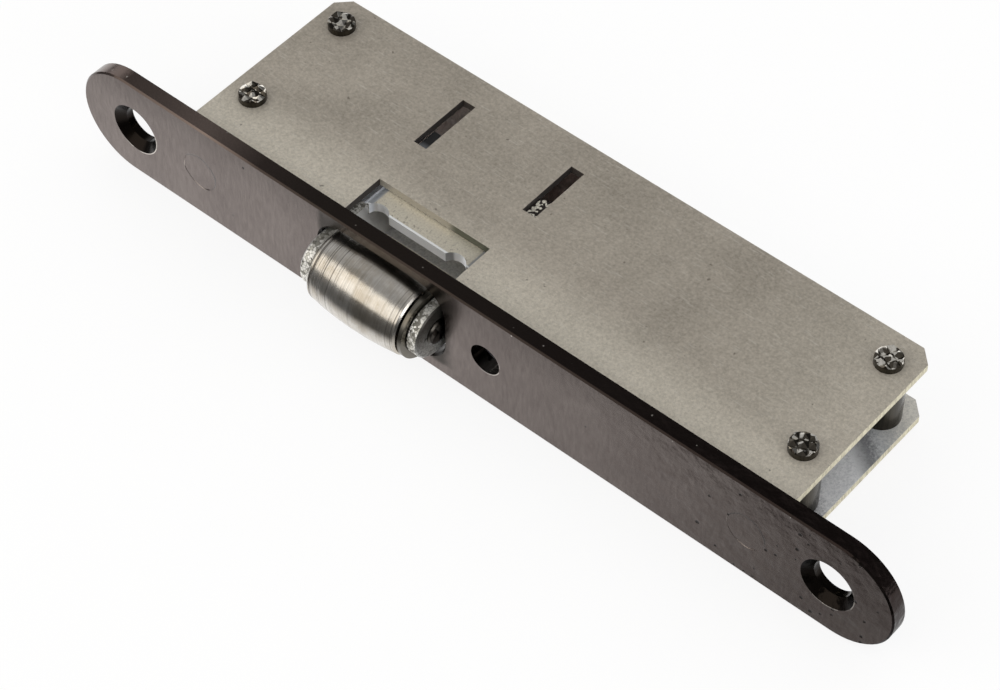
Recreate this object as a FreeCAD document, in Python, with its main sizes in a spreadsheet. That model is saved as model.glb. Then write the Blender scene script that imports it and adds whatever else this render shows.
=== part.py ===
import FreeCAD, Part
import math
import os
import Sketcher

# Roller mortise lock, lying on its side.
# Millimetres. The origin is the middle of the faceplate's front face.
# X runs along the faceplate, Y runs into the door, Z runs across the case.

doc = FreeCAD.newDocument("roller_mortise_lock")
sheet = doc.addObject("Spreadsheet::Sheet", "Size")

sizes = {
    # Faceplate: a flat bar with full-round ends.
    "plate_length": 175,
    "plate_width": 22,
    "plate_thick": 3,
    "plate_edge_ease": 0.3,
    "fixing_inset": 12.5,
    "fixing_bore": 7.2,
    "fixing_sink": 10.2,
    "fixing_sink_angle": 90,
    "key_hole_bore": 6.1,
    "key_hole_place": 5.6,

    # Mouth in the faceplate that the roller comes out of.
    "mouth_rim": 2.4,
    "mouth_gap_near": 0.55,
    "mouth_gap_far": 1.1,
    "mouth_gap_side": 1.0,
    "mouth_end_flat": 6,
    "mouth_edge_ease": 0.35,

    # Case: two flat side plates held apart by four posts.
    "case_end_step": 23,
    "case_side_step": 3.6,
    "case_depth": 40,
    "case_sheet": 1.5,
    "case_corner_cut": 2.5,
    "window_step_near": 0.85,
    "window_step_far": 0.75,
    "window_rear_gap": 1.61,
    "back_wall_inset": 10.5,
    "back_wall_bend": 1.0,
    "back_wall_relief": 1.2,
    "back_wall_gap": 0.05,

    # Posts with a tenon at each end, peened over the side plates.
    "post_inset": 5.2,
    "post_front_inset": 11,
    "post_rear_inset": 6.1,
    "post_diameter": 7,
    "tenon_diameter": 5.0,
    "rivet_height": 1.1,
    "press_gap": 0.02,

    # Studs that join the faceplate to the two front posts.
    "stud_head": 7.4,
    "stud_shank": 5,
    "stud_tenon": 3.4,
    "stud_end": 0.8,

    # Fork that carries the roller: folded sheet with two ears and a web.
    "fork_centre": -17.55,
    "fork_width": 26.1,
    "fork_sheet": 2.0,
    "fork_bend": 1.0,
    "fork_top_gap": 0.2,
    "ear_side_gap": 0.6,
    "ear_edge_ease": 0.25,
    "notch_radius": 2.5,
    "notch_depth": 1.4,
    "web_roller_gap": 2.4,
    "lug_inset": 18.7,
    "lug_length": 4.7,
    "lug_in_slot": 0.5,
    "web_lug_gap": 0.3,
    "tongue_width": 13,
    "tongue_floor_gap": 1.0,
    "tongue_bend": 1.0,
    "slot_gap_out": 0.5,
    "slot_gap_in": 0.3,
    "slot_end_gap": 0.1,

    # Roller on its axle, with a washer at each end.
    "axle_place": -0.4,
    "axle_diameter": 4,
    "axle_near_proud": 0.15,
    "axle_far_proud": 0.55,
    "axle_end_round": 0.3,
    "roller_gap_near": 0.9,
    "roller_gap_far": 1.55,
    "roller_crown": 0.7,
    "roller_edge": 0.35,
    "running_gap": 0.04,
    "washer_near_step": 2.2,
    "washer_near_gap": 0.15,
    "washer_near_thick": 0.65,
    "washer_far_step": 1.0,
    "washer_far_gap": 0.55,
    "washer_far_thick": 0.8,

    # Return spring on its guide pin, between the fork and the back wall.
    "spring_side_gap": 1.15,
    "spring_wire": 1.2,
    "spring_turns": 4,
    "spring_seat_gap": 0.1,
    "pin_coil_gap": 1.55,
    "pin_shoulder": 0.5,
    "pin_reach": 6,
    "pin_gap": 0.25,
    "pin_edge": 0.5,
}

for row, (alias, value) in enumerate(sizes.items(), 1):
    sheet.set("A%d" % row, alias)
    sheet.set("B%d" % row, str(value))
    sheet.setAlias("B%d" % row, alias)

# Places that follow from the sizes above.
sheet_terms = {
    "case_half": "(Size.plate_length / 2 - Size.case_end_step)",
    "case_front": "Size.plate_thick",
    "case_rear": "(Size.plate_thick + Size.case_depth)",
    "outside": "(Size.plate_width / 2 - Size.case_side_step)",
    "inside": "({outside} - Size.case_sheet)",
    "post_x": "({case_half} - Size.post_inset)",
    "post_front": "({case_front} + Size.post_front_inset)",
    "post_rear": "({case_rear} - Size.post_rear_inset)",
    "fixing_x": "(Size.plate_length / 2 - Size.fixing_inset)",
    "mouth_half": "(Size.plate_width / 2 - Size.mouth_rim)",
    "mouth_corner": "({mouth_half} - Size.mouth_end_flat / 2)",
    "fork_left": "(Size.fork_centre - Size.fork_width / 2)",
    "fork_right": "(Size.fork_centre + Size.fork_width / 2)",
    "ear_half": "({inside} - Size.ear_side_gap)",
    "lug_front": "({case_rear} - Size.lug_inset)",
    "lug_half": "({inside} + Size.lug_in_slot)",
    "roller_radius": "({mouth_half} - Size.mouth_gap_side)",
    "roller_left": "({fork_left} + Size.fork_sheet + Size.roller_gap_near)",
    "roller_right": "({fork_right} - Size.fork_sheet - Size.roller_gap_far)",
    "travel": "({roller_radius} - Size.axle_place)",
    "window_left": "({fork_left} + Size.window_step_near)",
    "window_right": "({fork_right} - Size.window_step_far)",
    "roller_half_chord": "sqrt({roller_radius}^2 - {inside}^2)",
    "window_rear": "(Size.axle_place + {travel} + {roller_half_chord} + Size.window_rear_gap)",
    "web_top": "({inside} - Size.fork_top_gap)",
    "web_front": "(Size.axle_place + {roller_radius} + Size.web_roller_gap)",
    "web_rear": "({lug_front} - Size.web_lug_gap)",
    "tongue_rear": "({lug_front} + Size.fork_sheet + Size.web_lug_gap)",
    "wall_front": "({case_rear} - Size.case_sheet)",
    "coil_radius": "({inside} - Size.spring_side_gap - Size.spring_wire / 2)",
    "pin_radius": "({coil_radius} - Size.spring_wire / 2 - Size.pin_coil_gap)",
}


def term(text):
    """Put the sheet's names into a short formula."""
    while "{" in text:
        for word, formula in sheet_terms.items():
            text = text.replace("{" + word + "}", formula)
    return text


def volume(shape_owner):
    return shape_owner.Shape.Volume


def new_body(label):
    body = doc.addObject("PartDesign::Body", label)
    body.Label = label
    return body


def new_sketch(body, name, role, along="0", side="0", up="0"):
    """A sketch on one of the body's own origin planes, moved off it by three formulas."""
    plane = [item for item in body.Origin.OriginFeatures if item.Role == role][0]
    sketch = body.newObject("Sketcher::SketchObject", name)
    sketch.AttachmentSupport = [(plane, "")]
    sketch.MapMode = "FlatFace"
    sketch.setExpression("AttachmentOffset.Base.x", term(side))
    sketch.setExpression("AttachmentOffset.Base.y", term(up))
    sketch.setExpression("AttachmentOffset.Base.z", term(along))
    doc.recompute()
    return sketch


def pin_down(sketch, edge, point, across, upward):
    """Tie one point of a sketch to two formulas, measured from the sketch's origin."""
    for kind, text in (("DistanceX", across), ("DistanceY", upward)):
        value = sketch.evalExpression(text)
        number = sketch.addConstraint(Sketcher.Constraint(kind, -1, 1, edge, point, float(value)))
        sketch.setExpression("Constraints[%d]" % number, text)


def outline(sketch, corners, arcs=None):
    """A closed outline. arcs gives the radius of the edge that starts at a corner.

    A radius with a minus sign turns the bend the other way.
    """
    arcs = arcs or {}
    corners = [(term(across), term(upward)) for across, upward in corners]
    spots = []
    for across, upward in corners:
        x_value = float(sketch.evalExpression(across))
        y_value = float(sketch.evalExpression(upward))
        spots.append(FreeCAD.Vector(x_value, y_value, 0))
    edges = []
    for index in range(len(corners)):
        first = spots[index]
        last = spots[(index + 1) % len(corners)]
        if index not in arcs:
            edge = sketch.addGeometry(Part.LineSegment(first, last))
            edges.append((edge, 1, 2))
            continue
        text = term(arcs[index])
        clockwise = text.startswith("-")
        text = text.lstrip("-")
        radius = float(sketch.evalExpression(text))
        chord = last - first
        rise = math.sqrt(max(radius * radius - chord.Length * chord.Length / 4, 0))
        normal = FreeCAD.Vector(-chord.y, chord.x, 0).normalize()
        centre = (first + last) * 0.5 + normal * (-rise if clockwise else rise)
        start, end = (last, first) if clockwise else (first, last)
        start_angle = math.atan2(start.y - centre.y, start.x - centre.x)
        end_angle = math.atan2(end.y - centre.y, end.x - centre.x)
        circle = Part.Circle(centre, FreeCAD.Vector(0, 0, 1), radius)
        edge = sketch.addGeometry(Part.ArcOfCircle(circle, start_angle, end_angle))
        edges.append((edge, 2, 1) if clockwise else (edge, 1, 2))
        number = sketch.addConstraint(Sketcher.Constraint("Radius", edge, radius))
        sketch.setExpression("Constraints[%d]" % number, text)
    for index, (edge, start_point, end_point) in enumerate(edges):
        following = edges[(index + 1) % len(edges)]
        join = Sketcher.Constraint("Coincident", edge, end_point, following[0], following[1])
        sketch.addConstraint(join)
        pin_down(sketch, edge, start_point, *corners[index])


def rectangle(sketch, left, low, right, high):
    outline(sketch, [(left, low), (right, low), (right, high), (left, high)])


def circle(sketch, across, upward, diameter):
    across = term(across)
    upward = term(upward)
    text = term(diameter)
    middle = FreeCAD.Vector(sketch.evalExpression(across), sketch.evalExpression(upward), 0)
    radius = float(sketch.evalExpression(text)) / 2
    edge = sketch.addGeometry(Part.Circle(middle, FreeCAD.Vector(0, 0, 1), radius))
    number = sketch.addConstraint(Sketcher.Constraint("Diameter", edge, 2 * radius))
    sketch.setExpression("Constraints[%d]" % number, text)
    pin_down(sketch, edge, 3, across, upward)


def pad(body, name, sketch, length, reverse=False, middle=False):
    feature = body.newObject("PartDesign::Pad", name)
    feature.Profile = sketch
    feature.setExpression("Length", term(length))
    feature.Reversed = reverse
    feature.Midplane = middle
    doc.recompute()
    return feature


def pocket(body, name, sketch):
    """Cut right through, both ways from the sketch."""
    before = volume(body)
    feature = body.newObject("PartDesign::Pocket", name)
    feature.Profile = sketch
    feature.Type = "ThroughAll"
    feature.Midplane = True
    doc.recompute()
    if volume(body) > before - 1e-6:
        raise RuntimeError(name + " cuts nothing")
    return feature


def pocket_to(body, name, sketch, length, reverse=False):
    """Cut to a depth, to one side of the sketch."""
    before = volume(body)
    feature = body.newObject("PartDesign::Pocket", name)
    feature.Profile = sketch
    feature.setExpression("Length", term(length))
    feature.Reversed = reverse
    doc.recompute()
    if volume(body) > before - 1e-6:
        raise RuntimeError(name + " cuts nothing")
    return feature


def revolve(body, name, sketch, axis):
    feature = body.newObject("PartDesign::Revolution", name)
    feature.Profile = sketch
    feature.ReferenceAxis = (sketch, [axis])
    feature.Angle = 360
    doc.recompute()
    return feature


def edges_where(feature, test):
    names = []
    for index, edge in enumerate(feature.Shape.Edges):
        if test(edge):
            names.append("Edge%d" % (index + 1))
    return names


def ease_edges(body, name, base, width, test):
    """Break sharp edges with a small flat."""
    feature = body.newObject("PartDesign::Chamfer", name)
    feature.Base = (base, edges_where(base, test))
    feature.setExpression("Size", term(width))
    doc.recompute()
    return feature


doc.recompute()

# faceplate
faceplate = new_body("faceplate")
face_sketch = new_sketch(faceplate, "face_outline", "XZ_Plane")
outline(
    face_sketch,
    [
        ("Size.plate_width / 2 - Size.plate_length / 2", "-Size.plate_width / 2"),
        ("Size.plate_length / 2 - Size.plate_width / 2", "-Size.plate_width / 2"),
        ("Size.plate_length / 2", "0 * Size.plate_width"),
        ("Size.plate_length / 2 - Size.plate_width / 2", "Size.plate_width / 2"),
        ("Size.plate_width / 2 - Size.plate_length / 2", "Size.plate_width / 2"),
        ("-Size.plate_length / 2", "0 * Size.plate_width"),
    ],
    {
        1: "Size.plate_width / 2",
        2: "Size.plate_width / 2",
        4: "Size.plate_width / 2",
        5: "Size.plate_width / 2",
    },
)
face_bar = pad(faceplate, "face_bar", face_sketch, "Size.plate_thick", reverse=True)
face_eased = ease_edges(
    faceplate,
    "face_eased",
    face_bar,
    "Size.plate_edge_ease",
    lambda edge: all(abs(v.Y) < 1e-6 for v in edge.Vertexes),
)

# The mouth follows the fork and the roller that pass through it.
mouth_sketch = new_sketch(faceplate, "mouth_outline", "XZ_Plane")
mouth_left = "{fork_left} - Size.mouth_gap_near"
mouth_right = "{fork_right} + Size.mouth_gap_far"
outline(
    mouth_sketch,
    [
        (mouth_left + " + {mouth_corner}", "-{mouth_half}"),
        (mouth_right + " - {mouth_corner}", "-{mouth_half}"),
        (mouth_right, "{mouth_corner} - {mouth_half}"),
        (mouth_right, "{mouth_half} - {mouth_corner}"),
        (mouth_right + " - {mouth_corner}", "{mouth_half}"),
        (mouth_left + " + {mouth_corner}", "{mouth_half}"),
        (mouth_left, "{mouth_half} - {mouth_corner}"),
        (mouth_left, "{mouth_corner} - {mouth_half}"),
    ],
    {1: "{mouth_corner}", 3: "{mouth_corner}", 5: "{mouth_corner}", 7: "{mouth_corner}"},
)
mouth = pocket(faceplate, "mouth", mouth_sketch)
mouth_low_x = float(mouth_sketch.evalExpression(term(mouth_left))) - 0.01
mouth_high_x = float(mouth_sketch.evalExpression(term(mouth_right))) + 0.01
mouth_eased = ease_edges(
    faceplate,
    "mouth_eased",
    mouth,
    "Size.mouth_edge_ease",
    lambda edge: all(
        abs(v.Y) < 1e-6 and mouth_low_x < v.X < mouth_high_x for v in edge.Vertexes
    ),
)

# One plain hole beside the mouth.
key_sketch = new_sketch(faceplate, "key_hole_centre", "XZ_Plane")
circle(key_sketch, "Size.key_hole_place", "0 * Size.plate_width", "Size.key_hole_bore")
pocket(faceplate, "key_hole", key_sketch)


def sunk_holes(name, spots, bore, sink, angle):
    """Countersunk holes from the front face."""
    before = volume(faceplate)
    sketch = new_sketch(faceplate, name + "_centres", "XZ_Plane")
    for across in spots:
        circle(sketch, across, "0 * Size.plate_width", bore)
    hole = faceplate.newObject("PartDesign::Hole", name)
    hole.Profile = sketch
    doc.recompute()
    hole.Threaded = False
    hole.DepthType = "ThroughAll"
    hole.setExpression("Diameter", term(bore))
    hole.HoleCutType = "Countersink"
    hole.HoleCutCustomValues = True
    hole.setExpression("HoleCutDiameter", term(sink))
    hole.setExpression("HoleCutCountersinkAngle", term(angle))
    doc.recompute()
    if volume(faceplate) > before - 1e-6:
        raise RuntimeError(name + " cuts nothing")
    return hole


sunk_holes(
    "fixing_holes",
    ["-{fixing_x}", "{fixing_x}"],
    "Size.fixing_bore",
    "Size.fixing_sink",
    "Size.fixing_sink_angle",
)
sunk_holes(
    "stud_holes",
    ["-{post_x}", "{post_x}"],
    "Size.stud_shank + 2 * Size.press_gap",
    "Size.stud_head + 2 * Size.press_gap",
    "Size.fixing_sink_angle",
)


# case plates
def case_outline(sketch):
    outline(
        sketch,
        [
            ("-{case_half}", "{case_front}"),
            ("{window_left}", "{case_front}"),
            ("{window_left}", "{window_rear}"),
            ("{window_right}", "{window_rear}"),
            ("{window_right}", "{case_front}"),
            ("{case_half}", "{case_front}"),
            ("{case_half}", "{case_rear} - Size.case_corner_cut"),
            ("{case_half} - Size.case_corner_cut", "{case_rear}"),
            ("Size.case_corner_cut - {case_half}", "{case_rear}"),
            ("-{case_half}", "{case_rear} - Size.case_corner_cut"),
        ],
    )


def case_slots(body, name):
    """Two slots that the fork's lugs run in, as long as a lug and the travel."""
    sketch = new_sketch(body, name, "XY_Plane")
    low = "{lug_front} - Size.slot_end_gap"
    high = "{lug_front} + Size.lug_length + {travel} + Size.slot_end_gap"
    rectangle(
        sketch,
        "{fork_left} - Size.slot_gap_out",
        low,
        "{fork_left} + Size.fork_sheet + Size.slot_gap_in",
        high,
    )
    rectangle(
        sketch,
        "{fork_right} - Size.fork_sheet - Size.slot_gap_in",
        low,
        "{fork_right} + Size.slot_gap_out",
        high,
    )
    return pocket(body, name + "_cut", sketch)


def tenon_holes(body, name):
    sketch = new_sketch(body, name, "XY_Plane")
    for across in ("-{post_x}", "{post_x}"):
        for upward in ("{post_front}", "{post_rear}"):
            circle(sketch, across, upward, "Size.tenon_diameter + 2 * Size.press_gap")
    return pocket(body, name + "_cut", sketch)


top_plate = new_body("case_top_plate")
top_sketch = new_sketch(top_plate, "top_outline", "XY_Plane", along="{inside}")
case_outline(top_sketch)
pad(top_plate, "top_sheet", top_sketch, "Size.case_sheet")
case_slots(top_plate, "top_slots")
tenon_holes(top_plate, "top_tenon_holes")

# The lower plate has the back wall folded up from its rear edge.
shell = new_body("case_shell")
floor_sketch = new_sketch(shell, "floor_outline", "XY_Plane", along="-{outside}")
case_outline(floor_sketch)
pad(shell, "floor_sheet", floor_sketch, "Size.case_sheet")
bend_zone = new_sketch(shell, "bend_zone", "XY_Plane")
bend_depth = "(Size.back_wall_bend + Size.case_sheet)"
wall_half = "({case_half} - Size.back_wall_inset + Size.back_wall_relief)"
rectangle(
    bend_zone,
    "-" + wall_half,
    "{case_rear} - " + bend_depth,
    wall_half,
    "{case_rear} + Size.case_sheet",
)
pocket(shell, "bend_clearance", bend_zone)
wall_sketch = new_sketch(shell, "wall_section", "YZ_Plane")
outline(
    wall_sketch,
    [
        ("{case_rear} - " + bend_depth + " - Size.case_sheet", "-{outside}"),
        ("{case_rear} - " + bend_depth, "-{outside}"),
        ("{case_rear}", "-{outside} + " + bend_depth),
        ("{case_rear}", "{inside} - Size.back_wall_gap"),
        ("{wall_front}", "{inside} - Size.back_wall_gap"),
        ("{wall_front}", "-{outside} + " + bend_depth),
        ("{case_rear} - " + bend_depth, "-{inside}"),
        ("{case_rear} - " + bend_depth + " - Size.case_sheet", "-{inside}"),
    ],
    {1: bend_depth, 5: "-Size.back_wall_bend"},
)
pad(shell, "back_wall", wall_sketch, "2 * ({case_half} - Size.back_wall_inset)", middle=True)
case_slots(shell, "floor_slots")
tenon_holes(shell, "floor_tenon_holes")
pin_hole = new_sketch(shell, "pin_hole", "XZ_Plane", along="-{case_rear}")
circle(
    pin_hole,
    "Size.fork_centre",
    "0 * Size.plate_width",
    "2 * ({pin_radius} - Size.pin_shoulder + Size.press_gap)",
)
pin_bore = shell.newObject("PartDesign::Pocket", "pin_bore")
pin_bore.Profile = pin_hole
pin_bore.setExpression("Length", "Size.case_sheet * 4")
pin_bore.Midplane = True
doc.recompute()

# posts
post_names = []
for side_name, side_sign in (("left", "-"), ("right", "")):
    for row_name in ("front", "rear"):
        label = "post_%s_%s" % (row_name, side_name)
        post_names.append(label)
        post = new_body(label)
        post_sketch = new_sketch(
            post,
            label + "_section",
            "XZ_Plane",
            along="-{post_" + row_name + "}",
            side=side_sign + "{post_x}",
        )
        top = "({outside} + Size.rivet_height)"
        outline(
            post_sketch,
            [
                ("0 * Size.post_diameter", "-" + top),
                ("Size.tenon_diameter / 2", "-" + top),
                ("Size.tenon_diameter / 2", "-{inside}"),
                ("Size.post_diameter / 2", "-{inside}"),
                ("Size.post_diameter / 2", "{inside}"),
                ("Size.tenon_diameter / 2", "{inside}"),
                ("Size.tenon_diameter / 2", top),
                ("0 * Size.post_diameter", top),
            ],
        )
        revolve(post, label + "_turned", post_sketch, "V_Axis")
        if row_name == "front":
            cross = new_sketch(post, label + "_cross", "XZ_Plane")
            circle(
                cross,
                side_sign + "{post_x}",
                "0 * Size.post_diameter",
                "Size.stud_tenon + 2 * Size.press_gap",
            )
            pocket(post, label + "_cross_bore", cross)

# studs
for side_name, side_sign in (("left", "-"), ("right", "")):
    label = "faceplate_stud_" + side_name
    stud = new_body(label)
    stud_sketch = new_sketch(
        stud,
        label + "_section",
        "XY_Plane",
        side=side_sign + "{post_x}",
    )
    post_face = "({post_front} - Size.post_diameter / 2)"
    post_back = "({post_front} + Size.post_diameter / 2)"
    outline(
        stud_sketch,
        [
            ("0 * Size.stud_head", "0 * Size.stud_head"),
            ("Size.stud_head / 2", "0 * Size.stud_head"),
            ("Size.stud_shank / 2", "(Size.stud_head - Size.stud_shank) / 2"),
            ("Size.stud_shank / 2", post_face),
            ("Size.stud_tenon / 2", post_face),
            ("Size.stud_tenon / 2", post_back + " + Size.stud_end"),
            ("0 * Size.stud_head", post_back + " + Size.stud_end"),
        ],
    )
    revolve(stud, label + "_turned", stud_sketch, "V_Axis")

# fork
fork = new_body("fork")
bend_out = "(Size.fork_bend + Size.fork_sheet)"
fork_section = new_sketch(fork, "fork_section", "XZ_Plane", along="-{web_front}")
outline(
    fork_section,
    [
        ("{fork_left}", "-{ear_half}"),
        ("{fork_left} + Size.fork_sheet", "-{ear_half}"),
        ("{fork_left} + Size.fork_sheet", "{web_top} - " + bend_out),
        ("{fork_left} + " + bend_out, "{web_top} - Size.fork_sheet"),
        ("{fork_right} - " + bend_out, "{web_top} - Size.fork_sheet"),
        ("{fork_right} - Size.fork_sheet", "{web_top} - " + bend_out),
        ("{fork_right} - Size.fork_sheet", "-{ear_half}"),
        ("{fork_right}", "-{ear_half}"),
        ("{fork_right}", "{web_top} - " + bend_out),
        ("{fork_right} - " + bend_out, "{web_top}"),
        ("{fork_left} + " + bend_out, "{web_top}"),
        ("{fork_left}", "{web_top} - " + bend_out),
    ],
    {2: "-Size.fork_bend", 4: "-Size.fork_bend", 8: bend_out, 10: bend_out},
)
pad(fork, "fork_fold", fork_section, "{web_rear} - {web_front}", reverse=True)

# Round relief notches where the web's front edge meets the ears.
notches = new_sketch(fork, "notches", "XY_Plane", along="{web_top}")
for across in (
    "{fork_left} + Size.fork_sheet + Size.notch_radius",
    "{fork_right} - Size.fork_sheet - Size.notch_radius",
):
    circle(
        notches,
        across,
        "{web_front} + Size.notch_depth - Size.notch_radius",
        "2 * Size.notch_radius",
    )
pocket_to(fork, "notch_cut", notches, bend_out)

# Each ear: round nose about the axle, straight shank, lug at the rear.
for ear_name, ear_side in (
    ("left_ear", "{fork_left}"),
    ("right_ear", "{fork_right} - Size.fork_sheet"),
):
    ear = new_sketch(fork, ear_name, "YZ_Plane", along=ear_side)
    outline(
        ear,
        [
            ("Size.axle_place", "{ear_half}"),
            ("Size.axle_place - {ear_half}", "0 * Size.fork_width"),
            ("Size.axle_place", "-{ear_half}"),
            ("{lug_front}", "-{ear_half}"),
            ("{lug_front}", "-{lug_half}"),
            ("{lug_front} + Size.lug_length", "-{lug_half}"),
            ("{lug_front} + Size.lug_length", "{lug_half}"),
            ("{lug_front}", "{lug_half}"),
            ("{lug_front}", "{web_top} - " + bend_out),
            ("{web_front}", "{web_top} - " + bend_out),
            ("{web_front}", "{ear_half}"),
        ],
        {0: "{ear_half}", 1: "{ear_half}"},
    )
    pad(fork, ear_name + "_sheet", ear, "Size.fork_sheet")

# The web's rear end is folded down as the spring's seat.
tongue = new_sketch(fork, "tongue_section", "YZ_Plane", along="Size.fork_centre")
tongue_out = "(Size.tongue_bend + Size.fork_sheet)"
outline(
    tongue,
    [
        ("{web_rear} - Size.fork_sheet", "{web_top} - Size.fork_sheet"),
        ("{tongue_rear} - " + tongue_out, "{web_top} - Size.fork_sheet"),
        ("{tongue_rear} - Size.fork_sheet", "{web_top} - " + tongue_out),
        ("{tongue_rear} - Size.fork_sheet", "Size.tongue_floor_gap - {inside}"),
        ("{tongue_rear}", "Size.tongue_floor_gap - {inside}"),
        ("{tongue_rear}", "{web_top} - " + tongue_out),
        ("{tongue_rear} - " + tongue_out, "{web_top}"),
        ("{web_rear} - Size.fork_sheet", "{web_top}"),
    ],
    {1: "-Size.tongue_bend", 5: tongue_out},
)
pad(fork, "spring_tongue", tongue, "Size.tongue_width", middle=True)
pin_pass = new_sketch(fork, "pin_pass", "XZ_Plane", along="-{tongue_rear}")
circle(pin_pass, "Size.fork_centre", "0 * Size.fork_width", "2 * ({pin_radius} + Size.pin_gap)")
pin_pass_cut = fork.newObject("PartDesign::Pocket", "pin_pass_cut")
pin_pass_cut.Profile = pin_pass
pin_pass_cut.setExpression("Length", "Size.fork_sheet * 4")
pin_pass_cut.Midplane = True
doc.recompute()
axle_bore = new_sketch(fork, "axle_bore", "YZ_Plane")
circle(axle_bore, "Size.axle_place", "0 * Size.fork_width", "Size.axle_diameter + 2 * Size.press_gap")
ears_bored = pocket(fork, "axle_bore_cut", axle_bore)


def on_ear_rim(edge):
    """The rim of an ear's outer face in front of the web, but not the axle's hole."""
    box = edge.BoundBox
    for side in ("{fork_left}", "{fork_right}"):
        face = float(axle_bore.evalExpression(term(side)))
        if abs(box.XMin - face) + abs(box.XMax - face) > 1e-4:
            continue
        if box.ZLength < 1e-4:
            return abs(box.YMax - ear_front) < 1e-4
        return box.YMin < ear_front - 1e-4 and box.ZLength > hole_height
    return False


ear_front = float(axle_bore.evalExpression(term("{web_front}")))
hole_height = float(axle_bore.evalExpression("Size.axle_diameter / 2")) + 0.1
ease_edges(fork, "ear_rims", ears_bored, "Size.ear_edge_ease", on_ear_rim)

# axle
axle = new_body("axle")
axle_sketch = new_sketch(axle, "axle_section", "XY_Plane", up="Size.axle_place")
near_end = "{fork_left} - Size.axle_near_proud"
far_end = "{fork_right} + Size.axle_far_proud"
outline(
    axle_sketch,
    [
        (near_end, "0 * Size.axle_diameter"),
        (far_end, "0 * Size.axle_diameter"),
        (far_end, "Size.axle_diameter / 2 + Size.axle_far_proud - Size.axle_end_round"),
        (far_end + " - Size.axle_end_round", "Size.axle_diameter / 2 + Size.axle_far_proud"),
        ("{fork_right}", "Size.axle_diameter / 2 + Size.axle_far_proud"),
        ("{fork_right}", "Size.axle_diameter / 2"),
        ("{fork_left}", "Size.axle_diameter / 2"),
        (near_end, "Size.axle_diameter / 2 - Size.axle_near_proud"),
    ],
)
revolve(axle, "axle_turned", axle_sketch, "H_Axis")

# roller
roller = new_body("roller")
roller_bore = "(Size.axle_diameter / 2 + Size.running_gap)"
roller_end = "({roller_radius} - Size.roller_crown)"
roller_middle = "(({roller_right} + {roller_left}) / 2)"
roller_half = "(({roller_right} - {roller_left}) / 2 - Size.roller_edge)"
crown_steps = [step / 3 for step in range(3, -4, -1)]
roller_sketch = new_sketch(roller, "roller_section", "XY_Plane", up="Size.axle_place")
outline(
    roller_sketch,
    [("{roller_left}", roller_bore), ("{roller_right}", roller_bore)]
    + [("{roller_right}", roller_end + " - Size.roller_edge")]
    + [
        (
            roller_middle + " + %.6f * " % step + roller_half,
            roller_end + " + %.6f * Size.roller_crown" % (1 - step * step),
        )
        for step in crown_steps
    ]
    + [("{roller_left}", roller_end + " - Size.roller_edge")],
)
revolve(roller, "roller_turned", roller_sketch, "H_Axis")

# washers
for label, roller_face, sign, end in (
    ("washer_left", "{roller_left}", " - ", "near"),
    ("washer_right", "{roller_right}", " + ", "far"),
):
    washer = new_body(label)
    inner_face = roller_face + sign + "Size.washer_%s_gap" % end
    outer_face = inner_face + sign + "Size.washer_%s_thick" % end
    washer_radius = "{roller_radius} - Size.washer_%s_step" % end
    washer_sketch = new_sketch(washer, label + "_section", "XY_Plane", up="Size.axle_place")
    outline(
        washer_sketch,
        [
            (inner_face, roller_bore),
            (outer_face, roller_bore),
            (outer_face, washer_radius),
            (inner_face, washer_radius),
        ],
    )
    revolve(washer, label + "_turned", washer_sketch, "H_Axis")

# guide pin
pin = new_body("guide_pin")
pin_sketch = new_sketch(pin, "pin_section", "XY_Plane", side="Size.fork_centre")
pin_front = "({tongue_rear} - Size.pin_reach)"
outline(
    pin_sketch,
    [
        ("0 * Size.pin_reach", pin_front),
        ("{pin_radius} - Size.pin_edge", pin_front),
        ("{pin_radius}", pin_front + " + Size.pin_edge"),
        ("{pin_radius}", "{wall_front}"),
        ("{pin_radius} - Size.pin_shoulder", "{wall_front}"),
        ("{pin_radius} - Size.pin_shoulder", "{case_rear}"),
        ("0 * Size.pin_reach", "{case_rear}"),
    ],
)
revolve(pin, "pin_turned", pin_sketch, "V_Axis")

# spring
spring = new_body("return_spring")
spring_length = "({wall_front} - {tongue_rear} - 2 * Size.spring_seat_gap - Size.spring_wire)"
wire_sketch = new_sketch(spring, "wire_section", "YZ_Plane", along="Size.fork_centre")
# The wire's section is a pentagon, which keeps the coil light.
wire_middle = "({tongue_rear} + Size.spring_seat_gap + Size.spring_wire / 2)"
outline(
    wire_sketch,
    [
        (
            wire_middle + " + Size.spring_wire / 2 * cos(%d deg)" % turn,
            "{coil_radius} + Size.spring_wire / 2 * sin(%d deg)" % turn,
        )
        for turn in range(0, 360, 72)
    ],
)
coil = spring.newObject("PartDesign::AdditiveHelix", "coil")
coil.Profile = wire_sketch
coil.ReferenceAxis = (wire_sketch, ["H_Axis"])
coil.Mode = "height-turns-angle"
coil.setExpression("Height", term(spring_length))
coil.setExpression("Turns", "Size.spring_turns")
doc.recompute()

# write
bodies = [item for item in doc.Objects if item.TypeId == "PartDesign::Body"]
for item in doc.Objects:
    if "Invalid" in item.State or "Error" in item.State:
        raise RuntimeError("%s is not right: %s" % (item.Label, item.State))
for body in bodies:
    shape = body.Shape
    if shape.isNull() or not shape.isValid() or len(shape.Solids) != 1:
        raise RuntimeError(body.Label + " has no sound solid")
os.makedirs("parts", exist_ok=True)
for body in bodies:
    body.Shape.exportStep("parts/%s.step" % body.Label)
    box = body.Shape.BoundBox
    print(
        "%-22s x %8.2f %8.2f  y %7.2f %7.2f  z %7.2f %7.2f  volume %9.2f"
        % (body.Label, box.XMin, box.XMax, box.YMin, box.YMax, box.ZMin, box.ZMax, body.Shape.Volume)
    )
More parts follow.
